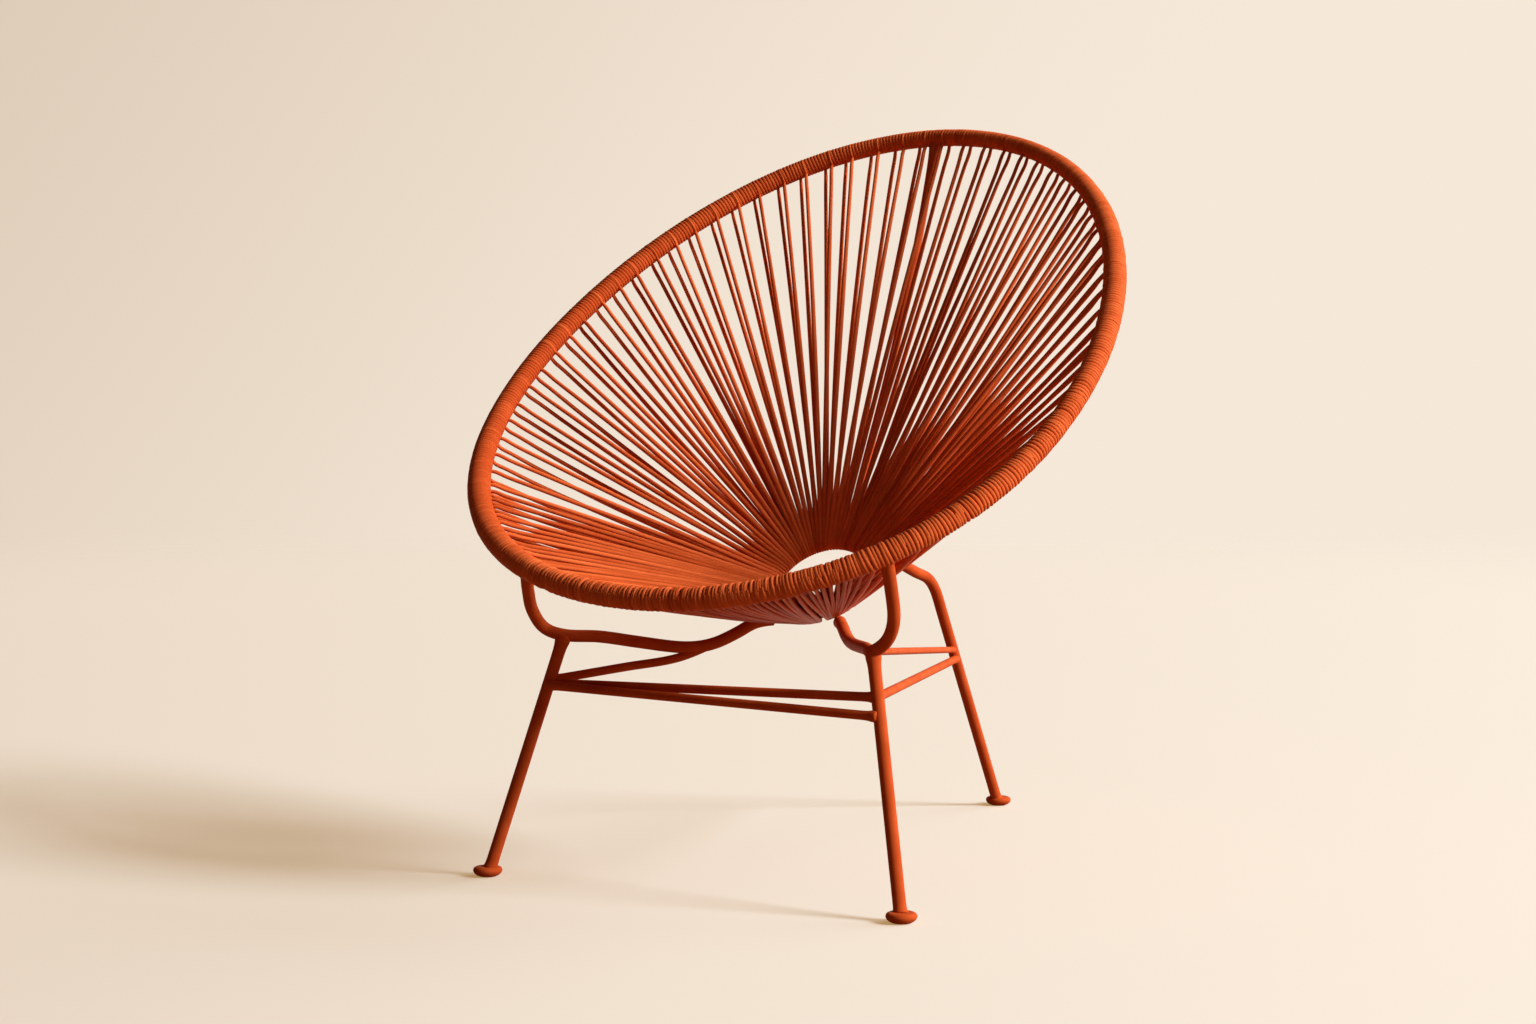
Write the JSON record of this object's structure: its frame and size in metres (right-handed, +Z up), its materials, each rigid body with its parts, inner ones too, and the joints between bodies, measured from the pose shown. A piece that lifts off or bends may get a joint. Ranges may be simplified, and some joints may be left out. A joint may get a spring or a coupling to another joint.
{
  "type": "acapulco chair",
  "caption": "Three-legged lounge chair with an egg-shaped hoop wound with vinyl cord, laced to a small seat ring over a welded rod base.",
  "frame": {"origin": "middle of the chair's outline seen from above, on the floor under its foot plates", "axes": "+Z up, -Y the way the chair faces, +X to the sitter's left"},
  "size_m": [0.7672, 0.868, 0.8766],
  "materials": {
    "frame_paint": "semi-gloss",
    "vinyl_cord": "semi-gloss"
  },
  "bodies": {
    "root": {"rim_hoop": "frame_paint", "seat_ring": "frame_paint", "back_spine": "frame_paint", "left_support": "frame_paint", "right_support": "frame_paint", "left_leg": "frame_paint", "right_leg": "frame_paint", "rear_leg": "frame_paint", "front_stretcher": "frame_paint", "inner_stretcher": "frame_paint", "right_brace": "frame_paint", "side_stretcher": "frame_paint", "upper_stretcher": "frame_paint", "left_foot": "frame_paint", "right_foot": "frame_paint", "rear_foot": "frame_paint", "left_cord_1": "vinyl_cord", "left_cord_2": "vinyl_cord", "left_cord_3": "vinyl_cord", "left_cord_4": "vinyl_cord", "left_cord_5": "vinyl_cord", "left_cord_6": "vinyl_cord", "left_cord_7": "vinyl_cord", "right_cord_1": "vinyl_cord", "right_cord_2": "vinyl_cord", "right_cord_3": "vinyl_cord", "right_cord_4": "vinyl_cord", "right_cord_5": "vinyl_cord", "right_cord_6": "vinyl_cord", "right_cord_7": "vinyl_cord"}
  },
  "joints": []
}
